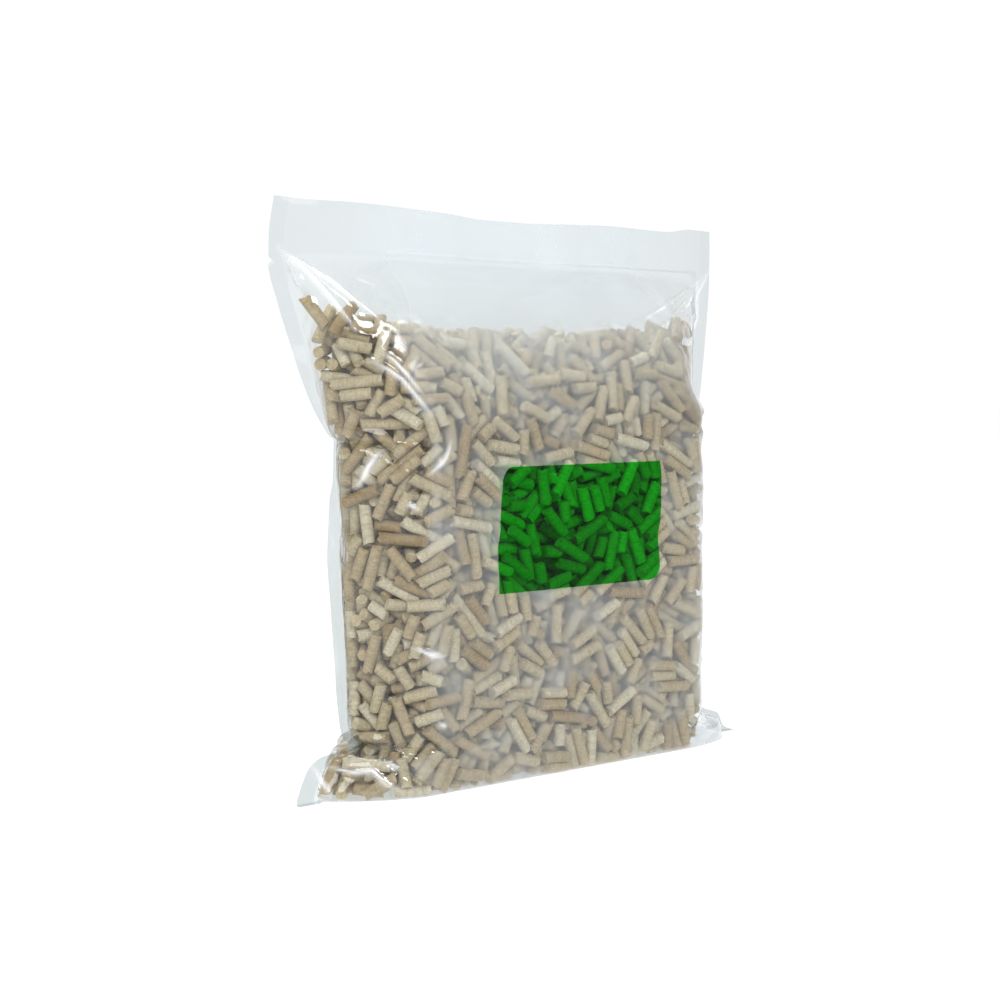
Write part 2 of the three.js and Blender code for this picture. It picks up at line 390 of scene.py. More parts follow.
def make_pellet(seed):
    """A rod along X with a broken face at each end: its points, faces, and which are ends."""
    chance = np.random.default_rng(100 + seed)
    bm = bmesh.new()
    bmesh.ops.create_cone(
        bm, cap_ends=True, cap_tris=True, segments=14, radius1=PELLET_RADIUS,
        radius2=PELLET_RADIUS, depth=KIND_LENGTH,
    )
    long_edges = [e for e in bm.edges if e.calc_length() > KIND_LENGTH / 2]
    bmesh.ops.subdivide_edges(bm, edges=long_edges, cuts=1)
    slant = chance.uniform(-0.2, 0.2, (2, 2))
    torn = chance.uniform(0.0001, 0.0007, 2)
    for v in bm.verts:
        if abs(v.co.z) < KIND_LENGTH / 4:
            continue
        top = int(v.co.z > 0)
        lean, out = slant[top], 1 if top else -1
        v.co.z += v.co.x * lean[0] + v.co.y * lean[1]
        if math.hypot(v.co.x, v.co.y) > PELLET_RADIUS / 2:
            v.co.z += out * chance.uniform(-torn[top], torn[top])
            v.co.x *= chance.uniform(0.94, 1.0)
            v.co.y *= chance.uniform(0.94, 1.0)
        else:
            v.co.z -= out * chance.uniform(0, 0.0005)
    bmesh.ops.rotate(
        bm, verts=bm.verts, cent=(0, 0, 0), matrix=Matrix.Rotation(math.pi / 2, 3, "Y")
    )
    bmesh.ops.recalc_face_normals(bm, faces=bm.faces)
    points = np.array([v.co[:] for v in bm.verts])
    faces = [[v.index for v in f.verts] for f in bm.faces]
    ends = [abs(f.normal.x) > 0.6 for f in bm.faces]
    bm.free()
    return points, faces, ends


kinds = [make_pellet(seed) for seed in range(KINDS)]
print(f"{len(kinds)} kinds of pellet, {len(kinds[0][1])} faces each")

# %% [markdown]
# ## Four thousand pellets in three meshes
#
# Copying objects one by one would make thousands of objects. The copies are joined into
# three meshes instead, a left, a middle and a right one, so that each stays light. Every
# pellet carries three attributes for its material: a point in its own space, so that the
# grain follows it wherever it lies, its own tone, and which faces are broken ends.

# %% Copy the pellets to their places
def pellet_frames():
    """Three directions for each pellet: its own way, and two across it, turned at random."""
    helper = np.where(np.abs(ways[:, 2:]) < 0.8, [[0.0, 0, 1]], [[1.0, 0, 0]])
    side = np.cross(ways, helper)
    side /= np.linalg.norm(side, axis=1)[:, None]
    other = np.cross(ways, side)
    roll = rng.uniform(0, 2 * math.pi, (PELLET_COUNT, 1))
    return np.stack(
        [ways, side * np.cos(roll) + other * np.sin(roll),
         other * np.cos(roll) - side * np.sin(roll)], 1,
    )


frames = pellet_frames()
kind_of = rng.integers(0, KINDS, PELLET_COUNT)
thickness = rng.normal(1, 0.025, PELLET_COUNT)
tones = rng.uniform(0, 1, PELLET_COUNT)
shifts = rng.uniform(0, 1, (PELLET_COUNT, 3))


def pellet_mesh(name, chosen):
    """One mesh of the chosen pellets, with their attributes."""
    points, locals_, tone, corners, sizes, ends = [], [], [], [], [], []
    base = 0
    for kind, (own, faces, kind_ends) in enumerate(kinds):
        for k in chosen[kind_of[chosen] == kind]:
            stretch = np.array([lengths[k] / KIND_LENGTH, thickness[k], thickness[k]])
            local = own * stretch
            points.append(local @ frames[k] + places[k])
            locals_.append(local + shifts[k])
            tone.append(np.full(len(own), tones[k]))
            corners.extend(np.concatenate(faces) + base)
            sizes.extend(len(f) for f in faces)
            ends.extend(kind_ends)
            base += len(own)
    points = np.concatenate(points)
    mesh = bpy.data.meshes.new(name)
    mesh.vertices.add(len(points))
    mesh.vertices.foreach_set("co", points.astype(np.float32).ravel())
    mesh.loops.add(len(corners))
    mesh.loops.foreach_set("vertex_index", np.array(corners, np.int32))
    mesh.polygons.add(len(sizes))
    starts = np.concatenate([[0], np.cumsum(sizes)[:-1]])
    mesh.polygons.foreach_set("loop_start", starts.astype(np.int32))
    mesh.polygons.foreach_set("use_smooth", ~np.array(ends))
    mesh.update(calc_edges=True)
    mesh.set_sharp_from_angle(angle=math.radians(40))
    for label, kind, domain, values in (
        ("own_space", "FLOAT_VECTOR", "POINT", np.concatenate(locals_)),
        ("tone", "FLOAT", "POINT", np.concatenate(tone)),
        ("broken", "FLOAT", "FACE", np.array(ends, float)),
    ):
        field = "vector" if kind == "FLOAT_VECTOR" else "value"
        layer = mesh.attributes.new(label, kind, domain)
        layer.data.foreach_set(field, values.astype(np.float32).ravel())
    return mesh


def add_piece(name, mesh):
    """A finished piece: it rides on the bag."""
    piece = bpy.data.objects.new(name, mesh)
    bpy.context.scene.collection.objects.link(piece)
    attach(piece, BODY)
    return piece


order = np.argsort(places[:, 0])
pellets = []
for name, part in zip(("left", "middle", "right"), np.array_split(order, 3)):
    piece = add_piece(f"pellets_{name}", pellet_mesh(f"pellets_{name}", np.sort(part)))
    pellets.append(piece)
    print(f"{piece.name}: {len(part)} pellets, {len(piece.data.polygons)} faces")
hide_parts("pellet_fill", *LOOSE)

# %% [markdown]
# ## The film
#
# The film is two webs, a front one and a back one, and each was a flat rectangle before it
# was welded and filled. Each is made as what it was: a flat grid. Its columns are spread
# evenly along the film's own width at every height, not along X, so that a line printed on
# the flat film still runs where the film takes it, and the grid's UV map stays a true map of
# the flat web in both directions.

# %% Points of a web
COLUMNS = 280
FLOOR_ROWS, FOOT_ROWS, WALL_ROWS = 14, 8, 290
EAR_FOOT = 0.002          # half width of the weld's edge where an ear lies on the floor
WEB_GAP = 0.0003          # between the two webs along a weld
CLEAR = 0.0001            # between the film and the floor


def row_heights():
    """Heights of the wall's rows: close together on the round foot, then even."""
    foot = FLOOR_ROUND * (1 - np.cos(np.linspace(0, math.pi / 2, FOOT_ROWS, endpoint=False)))
    return np.concatenate([foot, np.linspace(FLOOR_ROUND, HEIGHT, WALL_ROWS)])


def across_film(z, side):
    """X of evenly spaced points along the film's width at one height."""
    left, right = float(left_edge(z)), float(right_edge(z))
    x = np.linspace(left, right, 600)
    y = middle(x, z) + side * half_depth(x, z)
    run = np.concatenate([[0], np.cumsum(np.hypot(np.diff(x), np.diff(y)))])
    return np.interp(np.linspace(0, run[-1], COLUMNS + 1), run, x)


def web_points(side):
    """The web as rows of points, from the weld under the bag up to the top edge."""
    heights = row_heights()
    rows = []
    x = across_film(0.0, side)
    foot = np.maximum(half_depth(x, 0.0), EAR_FOOT)
    for share in np.linspace(0, 1, FLOOR_ROWS, endpoint=False):
        rows.append(np.stack([x, middle(x, 0.0) + side * share * foot, 0 * x + CLEAR], 1))
    for number, z in enumerate(heights):
        x = across_film(z, side)
        off = np.maximum(half_depth(x, z), EAR_FOOT) if number == 0 else half_depth(x, z)
        rows.append(np.stack([x, middle(x, z) + side * off, 0 * x + z + CLEAR], 1))
    return np.array(rows)


def normals_of(points, side):
    """Unit normals of a grid of points, pointing out of the bag."""
    along, up = np.gradient(points, axis=1), np.gradient(points, axis=0)
    n = np.cross(along, up) * -side
    return n / np.maximum(np.linalg.norm(n, axis=2), 1e-12)[:, :, None]


# %% [markdown]
# ### Folds, waves and the mark of the pellets
#
# What makes film read as film is its relief. Where a flat web is drawn in from a wide weld to
# a narrow body it gathers into a few sharp folds that run from the corners, and where the
# body buckles there is a hard crease. Those are listed as lines over the bag, each with a
# width and a height. The empty part above the pellets waves gently. And where the
# film is pressed on the pellets, it sinks a little between them, which is measured by
# looking inwards from every point of the film to the first pellet behind it.

# %% Folds
FRONT_FOLDS = [     # points as (x, z), half width, height; a negative height is a valley
    ([(-0.149, 0.268), (-0.1366, 0.2613), (-0.1223, 0.2511), (-0.1061, 0.2348)], 0.0012, 0.0032),
    ([(-0.1444, 0.265), (-0.1359, 0.259), (-0.1285, 0.2496), (-0.1193, 0.2348),
      (-0.1162, 0.2285)], 0.0012, 0.0028),
    ([(-0.1113, 0.214), (-0.1043, 0.2096), (-0.0988, 0.2047), (-0.0878, 0.188)], 0.0013, 0.0026),
    ([(-0.1064, 0.2179), (-0.1018, 0.214), (-0.0906, 0.1979)], 0.0012, 0.0020),
    ([(-0.1177, 0.1748), (-0.1107, 0.1732), (-0.104, 0.1707), (-0.1009, 0.1668),
      (-0.0977, 0.1625)], 0.003, -0.005),
    ([(-0.1177, 0.181), (-0.1107, 0.179), (-0.102, 0.176), (-0.093, 0.168)], 0.003, 0.0025),
    ([(-0.0782, 0.1749), (-0.0814, 0.1671), (-0.0892, 0.1592)], 0.0013, 0.0012),
    ([(-0.1048, 0.1701), (-0.1084, 0.1623), (-0.1109, 0.1524)], 0.0013, 0.0012),
    ([(-0.0965, 0.1453), (-0.0939, 0.1424)], 0.0015, 0.0012),
    ([(-0.095, 0.0745), (-0.0913, 0.0729), (-0.0875, 0.0706), (-0.0828, 0.0702)], 0.0013, 0.0015),
    ([(-0.0854, 0.0371), (-0.0812, 0.0353)], 0.0015, 0.0015),
    ([(-0.1155, 0.0247), (-0.1066, 0.0195), (-0.1018, 0.0149), (-0.0905, 0.0064)], 0.003, -0.005),
    ([(-0.1155, 0.031), (-0.105, 0.0265), (-0.098, 0.021), (-0.086, 0.012)], 0.004, 0.003),
    ([(-0.130, 0.0162), (-0.122, 0.0141), (-0.1149, 0.0151), (-0.1131, 0.0125),
      (-0.1102, 0.0086), (-0.1044, 0.0064)], 0.0013, 0.0016),
    ([(-0.1067, 0.0197), (-0.1073, 0.0171), (-0.1059, 0.0158), (-0.1038, 0.0168)], 0.0012, 0.0012),
    ([(-0.1372, 0.018), (-0.1362, 0.0155), (-0.1335, 0.0095), (-0.1327, 0.003)], 0.0012, 0.0008),
    ([(0.149, 0.268), (0.138, 0.255), (0.132, 0.243), (0.12, 0.235)], 0.0014, 0.0018),
    ([(0.138, 0.262), (0.136, 0.24), (0.128, 0.225)], 0.0013, 0.0014),
    ([(0.112, 0.186), (0.103, 0.182), (0.094, 0.176)], 0.003, -0.003),
    ([(0.11, 0.1216), (0.1, 0.1216), (0.09, 0.126)], 0.003, -0.004),
    ([(0.11, 0.014), (0.1, 0.016), (0.088, 0.010)], 0.003, -0.004),
]
BACK_FOLDS = [
    ([(0.149, 0.268), (0.13, 0.256), (0.1, 0.236)], 0.0014, 0.0022),
    ([(0.14, 0.262), (0.122, 0.24), (0.106, 0.222)], 0.0013, 0.0018),
    ([(-0.149, 0.268), (-0.134, 0.25), (-0.112, 0.234)], 0.0014, 0.0022),
    ([(-0.1177, 0.1755), (-0.105, 0.172), (-0.092, 0.164)], 0.003, -0.004),
    ([(0.112, 0.175), (0.103, 0.17), (0.092, 0.158)], 0.003, -0.004),
    ([(-0.113, 0.026), (-0.104, 0.018), (-0.09, 0.006)], 0.003, -0.004),
    ([(0.11, 0.02), (0.102, 0.016), (0.092, 0.006)], 0.003, -0.004),
    ([(0.05, 0.262), (0.03, 0.25), (0.0, 0.246)], 0.002, 0.0015),
]


SHARP_FOLD = 0.002        # a ridge narrower than this gets a white painted highlight
CREASE_HALF = 0.0011


def distance_to(x, z, line):
    """How far points lie from a line through several points, and how far along it, 0 to 1."""
    line = np.array(line)
    parts = np.linalg.norm(np.diff(line, axis=0), axis=1)
    best, along, before = np.full(x.shape, 1e9), np.zeros(x.shape), 0
    for (ax, az), (bx, bz), size in zip(line[:-1], line[1:], parts):
        t = np.clip(((x - ax) * (bx - ax) + (z - az) * (bz - az)) / size**2, 0, 1)
        far = np.hypot(x - ax - t * (bx - ax), z - az - t * (bz - az))
        along = np.where(far < best, (before + t * size) / parts.sum(), along)
        best, before = np.minimum(far, best), before + size
    return best, along


def folds(points, side):
    """The height of every fold of one web, at every point."""
    x, z = points[..., 0], points[..., 2]
    total = np.zeros(x.shape)
    for line, width, height in FRONT_FOLDS if side < 0 else BACK_FOLDS:
        far, along = distance_to(x, z, line)
        fade = np.sin(math.pi * np.clip(along, 0.04, 0.96)) ** 0.5
        total += height * fade / (1 + (far / width) ** 2) ** 2
    wall = np.clip(z / 0.004, 0, 1)
    welded = np.minimum(x - left_edge(z) - left_fin(z), right_edge(z) - right_fin(z) - x)
    inside = np.clip(np.minimum(welded, HEIGHT - TOP_WELD - z) / 0.004, 0, 1)
    return total * wall * inside


def crease_highlights(points, side):
    """How strongly a white painted highlight lies on the film, 0 to 1, along its sharp folds."""
    x, z = points[..., 0], points[..., 2]
    highlight_share = np.zeros(x.shape)
    for line, width, height in FRONT_FOLDS if side < 0 else BACK_FOLDS:
        if height > 0 and width < SHARP_FOLD:
            far, along = distance_to(x, z, line)
            fade = np.sin(math.pi * np.clip(along, 0.05, 0.95)) ** 0.7
            highlight_share = np.maximum(highlight_share, fade / (1 + (far / CREASE_HALF) ** 2) ** 2)
    return highlight_share


# %% Waves and sinking
def smooth_noise(x, z, size, seed):
    """Even, smooth noise from -1 to 1 whose bumps are size metres across."""
    table = np.random.default_rng(seed).uniform(-1, 1, (64, 64))
    p, q = x / size + 20, z / size + 20
    i, k = np.floor(p).astype(int), np.floor(q).astype(int)
    a, b = p - i, q - k
    a, b = a * a * (3 - 2 * a), b * b * (3 - 2 * b)
    i, k = i % 63, k % 63
    low = table[i, k] * (1 - a) + table[i + 1, k] * a
    return low * (1 - b) + (table[i, k + 1] * (1 - a) + table[i + 1, k + 1] * a) * b


def waves(points, side):
    """Gentle waves of one web, only where the webs are apart, strongest above the pellets."""
    x, z = points[..., 0], points[..., 2]
    apart = np.clip(half_depth(x, z) / 0.006, 0, 1)
    empty = np.clip((z - 0.225) / 0.02, 0, 1)
    broad = smooth_noise(x, z, 0.035, 5 + side) * 0.0009
    fine = smooth_noise(x * 0.7, z * 1.6, 0.012, 9 + side) * 0.0003
    return (broad + fine) * (0.35 + 0.65 * empty) * apart * np.clip(z / 0.01, 0, 1)


def shared_waves(x, z):
    """Waves that both webs share where they are welded: the welds are never quite flat."""
    welded = 1 - np.clip(half_depth(x, z) / 0.006, 0, 1)
    long = smooth_noise(x, z, 0.045, 21) * 0.002 + smooth_noise(x, z, 0.016, 22) * 0.0005
    return long * welded * np.clip(z / 0.02, 0, 1)


top_edge = curve([      # how far the top edge dips below its full height, against x
    (-0.1505, 0), (-0.13, 0.0006), (-0.11, 0.0004), (-0.05, 0.0022), (-0.02, 0.0042),
    (0.005, 0.0042), (0.04, 0.0032), (0.07, 0.0022), (0.115, 0.003), (0.135, 0.0008),
    (0.152, 0.001),
])


def shrink(grid, pick):
    """Replaces each value by pick of itself and its neighbours."""
    padded = np.pad(grid, 1, mode="edge")
    rows, columns = grid.shape
    near = [padded[r : r + rows, c : c + columns] for r in range(3) for c in range(3)]
    return pick(near, axis=0)


pellet_tree = BVHTree.FromPolygons(
    np.concatenate([np.array([v.co[:] for v in p.data.vertices]) for p in pellets]).tolist(),
    [[i + base for i in face.vertices]
     for p, base in zip(pellets, np.cumsum([0] + [len(p.data.vertices) for p in pellets[:-1]]))
     for face in p.data.polygons],
)
LOOK_BACK, DEEPEST, LIFTED = 0.003, 0.006, 0.014
LOOK_UP_TO = 0.262        # above this height there is nothing behind the film
SAG, FILM_CLEARANCE = 0.3, 0.0002
SMOOTH_GAP, SMOOTH_SINK = 16, 12           # rounds of averaging


def sink(points, side):
    """How far each point sinks towards the pellets behind it, and how far off it hangs, 0 to 1."""
    out = normals_of(points, side)
    gap = np.full(points.shape[:2], LIFTED)
    for r in range(points.shape[0]):
        if points[r, 0, 2] > LOOK_UP_TO:
            continue
        for c in range(points.shape[1]):
            start = Vector(points[r, c] + out[r, c] * LOOK_BACK)
            found = pellet_tree.ray_cast(start, Vector(-out[r, c]), LOOK_BACK + LIFTED)
            if found[3] is not None:
                gap[r, c] = found[3] - LOOK_BACK
    away = gap.copy()
    for _ in range(SMOOTH_GAP):
        away = shrink(away, np.mean)
    # Above the pellets' slope the film hangs further off the higher it is, until the webs
    # come together again below the top weld.
    height = points[..., 2]
    away = np.maximum(away, 0.75 * LIFTED * np.clip((height - 0.15) / 0.085, 0, 1))
    away *= 1 - 0.7 * np.clip((height - 0.25) / 0.02, 0, 1)
    gap = np.minimum(gap, DEEPEST)
    reached = shrink(shrink((gap < DEEPEST).astype(float), np.mean), np.mean)
    near = shrink(shrink(shrink(gap, np.min), np.min), np.min)
    near = np.where(near > 0, SAG * near, near)
    for _ in range(SMOOTH_SINK):
        near = shrink(near, np.mean)
    return near * reached - FILM_CLEARANCE, np.clip(away / LIFTED, 0, 1)


# %% Both webs
NOTCH_HEIGHT, NOTCH_HALF, NOTCH_DEPTH = 0.2616, 0.0016, 0.0022    # a cut to tear it open at


def make_web(name, side):
    """A flat grid with the web's UV map, moved to the web's points."""
    points = web_points(side)
    rows = len(points)
    step = np.linalg.norm(np.diff(points[:, COLUMNS // 2], axis=0), axis=1)
    length = np.concatenate([[0], np.cumsum(step)])
    out = normals_of(points, side)
    lift = WEB_GAP / 2 + folds(points, side) + waves(points, side)
    points += out * lift[..., None]
    points[..., 1] += shared_waves(points[..., 0], points[..., 2])
    loose = np.clip(points[..., 2] / 0.004, 0, 1)
    loose *= np.clip(half_depth(points[..., 0], points[..., 2]) / 0.004, 0, 1)
    sunk, lifted = sink(points, side)
    points -= normals_of(points, side) * (sunk * loose)[..., None]
    near_top = np.clip((points[..., 2] - LOOK_UP_TO) / (HEIGHT - LOOK_UP_TO), 0, 1)
    dip = top_edge(points[..., 0]) * near_top
    points[..., 2] = np.maximum(points[..., 2] - dip, CLEAR)
    cut = np.clip(1 - np.abs(points[..., 2] - NOTCH_HEIGHT) / NOTCH_HALF, 0, 1)
    first_columns = np.clip(1 - np.arange(COLUMNS + 1) / 4, 0, 1)
    points[..., 0] += NOTCH_DEPTH * cut * first_columns
    # The sharp folds get a white painted highlight, kept in the crease attribute.
    highlight_share = crease_highlights(web_points(side), side)
    bm = bmesh.new()
    bmesh.ops.create_grid(bm, x_segments=COLUMNS, y_segments=rows - 1, size=0.5)
    uv = bm.loops.layers.uv.new("flat_web")
    for face in bm.faces:
        for loop in face.loops:
            u, v = loop.vert.co.x + 0.5, loop.vert.co.y + 0.5
            loop[uv].uv = (u, length[round(v * (rows - 1))] / length[-1])
    hang = bm.verts.layers.float.new("lifted")
    highlight_layer = bm.verts.layers.float.new("crease")
    for v in bm.verts:
        place = round((v.co.y + 0.5) * (rows - 1)), round((v.co.x + 0.5) * COLUMNS)
        v.co, v[hang], v[highlight_layer] = points[place], lifted[place], highlight_share[place]
    if side > 0:
        bmesh.ops.reverse_faces(bm, faces=bm.faces)
    for face in bm.faces:
        face.smooth = True
    mesh = bpy.data.meshes.new(name)
    bm.to_mesh(mesh)
    bm.free()
    print(f"{name}: {len(mesh.polygons)} faces, {length[-1] * 1000:.0f} mm from weld to edge")
    return mesh, float(length[-1]), points, length


webs = []
for name, side, node_name in (("front_web", -1, "front_film"), ("back_web", 1, "back_film")):
    mesh, flat_length, points, length = make_web(name, side)
    if side < 0:
        front_points, front_length = points, length
    web = add_piece(name, mesh)
    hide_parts(node_name)
    webs.append(web)
FLAT_LENGTH = flat_length


def flat_place(x, z):
    """Where a point of the filled bag's front lies on the flat web, in metres from its middle
    and from its lower weld."""
    far = np.hypot(front_points[..., 0] - x, front_points[..., 2] - z)
    row, column = np.unravel_index(np.argmin(far), far.shape)
    return (column / COLUMNS - 0.5) * FLAT_WIDTH, float(front_length[row])


PANEL_ON_BAG = (0.0065, 0.1295)
print("the panel's middle on the flat web:", flat_place(*PANEL_ON_BAG))

# %% [markdown]
# ## Materials
#
# There are two real materials. The pellets are sawdust, pressed through a hot die: straw
# coloured, a little different each, faintly banded across and flecked with darker grains.
# The film is polyethylene. At both sides it is clear, so it shows by what it mirrors, by
# a white highlight painted along its sharp folds and by grey shade painted on its lower welds.
# Its middle is frosted: a pellet that touches it stays sharp, and one that lies deeper fades into
# milk.
#
# A glass shader would bend the pellets and stay noisy. The film is so thin that it bends
# nothing, so it is mixed instead from plain transparency, a share of milk, and a gloss that
# grows towards a glancing view.

# %% Colours and nodes
def linear(code):
    """An sRGB hex colour as linear red, green, blue and alpha."""
    levels = [int(code[i : i + 2], 16) / 255 for i in (1, 3, 5)]
    return (*(c / 12.92 if c <= 0.04045 else ((c + 0.055) / 1.055) ** 2.4 for c in levels), 1)


def new_material(name):
    """An empty node material and its output's surface socket."""
    material = bpy.data.materials.new(name)
    material.use_nodes = True
    material.node_tree.nodes.clear()
    output = material.node_tree.nodes.new("ShaderNodeOutputMaterial")
    return material, output


def add(material, kind, inputs=None, **settings):
    """Adds a node with its settings; an input is a plain value or another node's output."""
    node = material.node_tree.nodes.new("ShaderNode" + kind)
    for name, value in settings.items():
        setattr(node, name, value)
    for name, value in (inputs or {}).items():
        if isinstance(value, bpy.types.NodeSocket):
            material.node_tree.links.new(value, node.inputs[name])
        else:
            node.inputs[name].default_value = value
    return node


# %% Compressed sawdust
FLECKS_PER_METRE = 1300.0     # the coarsest grains of sawdust, about 0.8 mm
BANDS_PER_METRE = 230.0       # where the die gripped, and closer along a pellet than round it
BANDS_CLOSER = 3.2


def compressed_sawdust():
    """Sawdust pressed through a die: smooth sides with fine flecks, rough paler ends."""
    # Softwood dust bound by its own resin. It looks dry and pale, with only a dull polish
    # where the die rubbed it, and its broken ends are rougher and lighter.
    material, output = new_material("compressed_sawdust")
    own = add(material, "Attribute", attribute_name="own_space").outputs["Vector"]
    tone = add(material, "Attribute", attribute_name="tone").outputs["Fac"]
    broken = add(material, "Attribute", attribute_name="broken").outputs["Fac"]
    across = add(material, "Mapping", {"Vector": own, "Scale": (BANDS_CLOSER, 1.0, 1.0)})
    dust = add(material, "TexNoise", {"Vector": own, "Scale": FLECKS_PER_METRE, "Detail": 4.0,
                                      "Roughness": 0.7}).outputs["Fac"]
    layer = add(material, "TexNoise", {"Vector": across.outputs[0], "Scale": BANDS_PER_METRE,
                                       "Detail": 3.0, "Roughness": 0.6}).outputs["Fac"]
    colour = add(material, "ValToRGB", {"Fac": tone})
    stops = colour.color_ramp.elements
    stops[0].color, stops[1].color = linear("#9F875F"), linear("#D0C4A8")
    stops.new(0.2).color = linear("#B29E79")
    stops.new(0.75).color = linear("#BFB08E")
    fleck = add(material, "MapRange", {"Value": dust, "From Min": 0.34, "From Max": 0.6,
                                       "To Min": 0.7, "To Max": 1.08})
    band = add(material, "MapRange", {"Value": layer, "From Min": 0.32, "From Max": 0.62,
                                      "To Min": 0.78, "To Max": 1.08})
    both = add(material, "Math", {0: fleck.outputs[0], 1: band.outputs[0]},
               operation="MULTIPLY")
    pale = add(material, "MapRange", {"Value": broken, "To Min": 1.0, "To Max": 1.12})
    all_three = add(material, "Math", {0: both.outputs[0], 1: pale.outputs[0]},
                    operation="MULTIPLY")
    shaded = add(material, "VectorMath", {0: colour.outputs["Color"],
                                          "Scale": all_three.outputs[0]}, operation="SCALE")
    relief = add(material, "Math", {0: dust, 1: layer}, operation="ADD")
    bump = add(material, "Bump", {"Height": relief.outputs[0], "Strength": 0.7,
                                  "Distance": 0.0003})
    rough = add(material, "MapRange", {"Value": broken, "To Min": 0.55, "To Max": 0.95})
    wood = add(material, "BsdfPrincipled", {
        "Base Color": shaded.outputs[0], "Roughness": rough.outputs[0],
        "Normal": bump.outputs["Normal"], "Specular IOR Level": 0.35,
    })
    material.node_tree.links.new(wood.outputs[0], output.inputs["Surface"])
    return material


sawdust = compressed_sawdust()
for piece in pellets:
    piece.data.materials.append(sawdust)
print(f"{sawdust.name}: {len(sawdust.node_tree.nodes)} nodes")


# %% Where a point lies on the flat web
def web_place(material):
    """Metres across the flat web from its middle, the same without a sign, and along it."""
    uv = add(material, "UVMap", uv_map="flat_web").outputs["UV"]
    flat = add(material, "SeparateXYZ", {"Vector": uv})
    centred = add(material, "Math", {0: flat.outputs["X"], 1: 0.5}, operation="SUBTRACT")
    across = add(material, "Math", {0: centred.outputs[0], 1: FLAT_WIDTH},
                 operation="MULTIPLY").outputs[0]
    along = add(material, "Math", {0: flat.outputs["Y"], 1: FLAT_LENGTH},
                operation="MULTIPLY").outputs[0]
    away = add(material, "Math", {0: across, 1: 0.0}, operation="ABSOLUTE").outputs[0]
    return across, away, along


# %% Where the film is frosted
FROSTED_HALF = 0.0975                      # half the width of the frosted middle
CRISP_EDGE, FADED_EDGE = 0.003, 0.035      # how soft its edge is, low down and near the top
FADE_HEIGHTS = (0.205, 0.250)              # the edge softens between these heights


def frosting(material, away, along):
    """1 on the frosted middle of a web and 0 on its clear sides."""
    low, high = (flat_place(-FROSTED_HALF, z)[1] for z in FADE_HEIGHTS)
    spread = add(material, "MapRange", {"Value": along, "From Min": low, "From Max": high,
                                        "To Min": CRISP_EDGE, "To Max": FADED_EDGE},
                 interpolation_type="SMOOTHSTEP").outputs[0]
    outer = add(material, "Math", {0: spread, 1: FROSTED_HALF}, operation="ADD")
    inner = add(material, "Math", {0: FROSTED_HALF, 1: spread}, operation="SUBTRACT")
    return add(material, "MapRange", {"Value": away, "From Min": outer.outputs[0],
                                      "From Max": inner.outputs[0]},
               interpolation_type="SMOOTHSTEP").outputs[0]


# %% What the film lets through
MILK = "#E9F3FB"
CLEAR_HAZE = 0.035            # even clear film is a little milky
BLUR = 0.05                   # the share of light that the frosting scatters forwards


def milky(material):
    """The white of frosted film, lit from its front and its back alike."""
    front = add(material, "BsdfDiffuse", {"Color": linear(MILK)})
    through = add(material, "BsdfTranslucent", {"Color": linear(MILK)})
    return add(material, "MixShader", {"Fac": 0.5, 1: front.outputs[0],
                                       2: through.outputs[0]}).outputs[0]


def clear_film(material, away, along, sharp, milk):
    """Clear film: nearly nothing, apart from painted shade on the side welds, darker towards their
    lower ends.
    """
    from_edge = add(material, "Math", {0: FLAT_WIDTH / 2, 1: away}, operation="SUBTRACT")
    welded = add(material, "MapRange", {"Value": from_edge.outputs[0], "From Min": 0.0095,
                                        "From Max": 0.0085})
    lower = add(material, "MapRange", {"Value": along, "From Min": 0.24, "From Max": 0.13,
                                       "To Min": 0.02, "To Max": 0.16})
    # Painted shade: a grey diffuse share on the side welds, growing towards their lower ends.
    weld_shade = add(material, "Math", {0: welded.outputs[0], 1: lower.outputs[0]},
                 operation="MULTIPLY")
    shade_grey = add(material, "BsdfDiffuse", {"Color": linear("#8E9797")})
    plain = add(material, "MixShader", {"Fac": CLEAR_HAZE, 1: sharp, 2: milk})
    return add(material, "MixShader", {"Fac": weld_shade.outputs[0], 1: plain.outputs[0],
                                       2: shade_grey.outputs[0]}).outputs[0]


def frosted_film(material, inside_out, sharp, milk):
    """Frosted film: a slight blur, and more milk the further the pellets lie behind it."""
    blurred = add(material, "BsdfRefraction", {"IOR": 1.2, "Roughness": 0.3,
                                               "Color": (0.93, 0.955, 0.955, 1)})
    facing = add(material, "Math", {0: 1.0, 1: inside_out}, operation="SUBTRACT")
    share = add(material, "Math", {0: facing.outputs[0], 1: BLUR}, operation="MULTIPLY")
    soft = add(material, "MixShader", {"Fac": share.outputs[0], 1: sharp,
                                       2: blurred.outputs[0]})
    lifted = add(material, "Attribute", attribute_name="lifted").outputs["Fac"]
    haze = add(material, "MapRange", {"Value": lifted, "From Min": 0.1, "From Max": 0.9,
                                      "To Min": 0.03, "To Max": 0.56})
    return add(material, "MixShader", {"Fac": haze.outputs[0], 1: soft.outputs[0],
                                       2: milk}).outputs[0]


# %% The printed panel
PANEL_HALF, PANEL_CORNER = (0.0560, 0.0318), 0.0075
PANEL_MIDDLE = flat_place(*PANEL_ON_BAG)


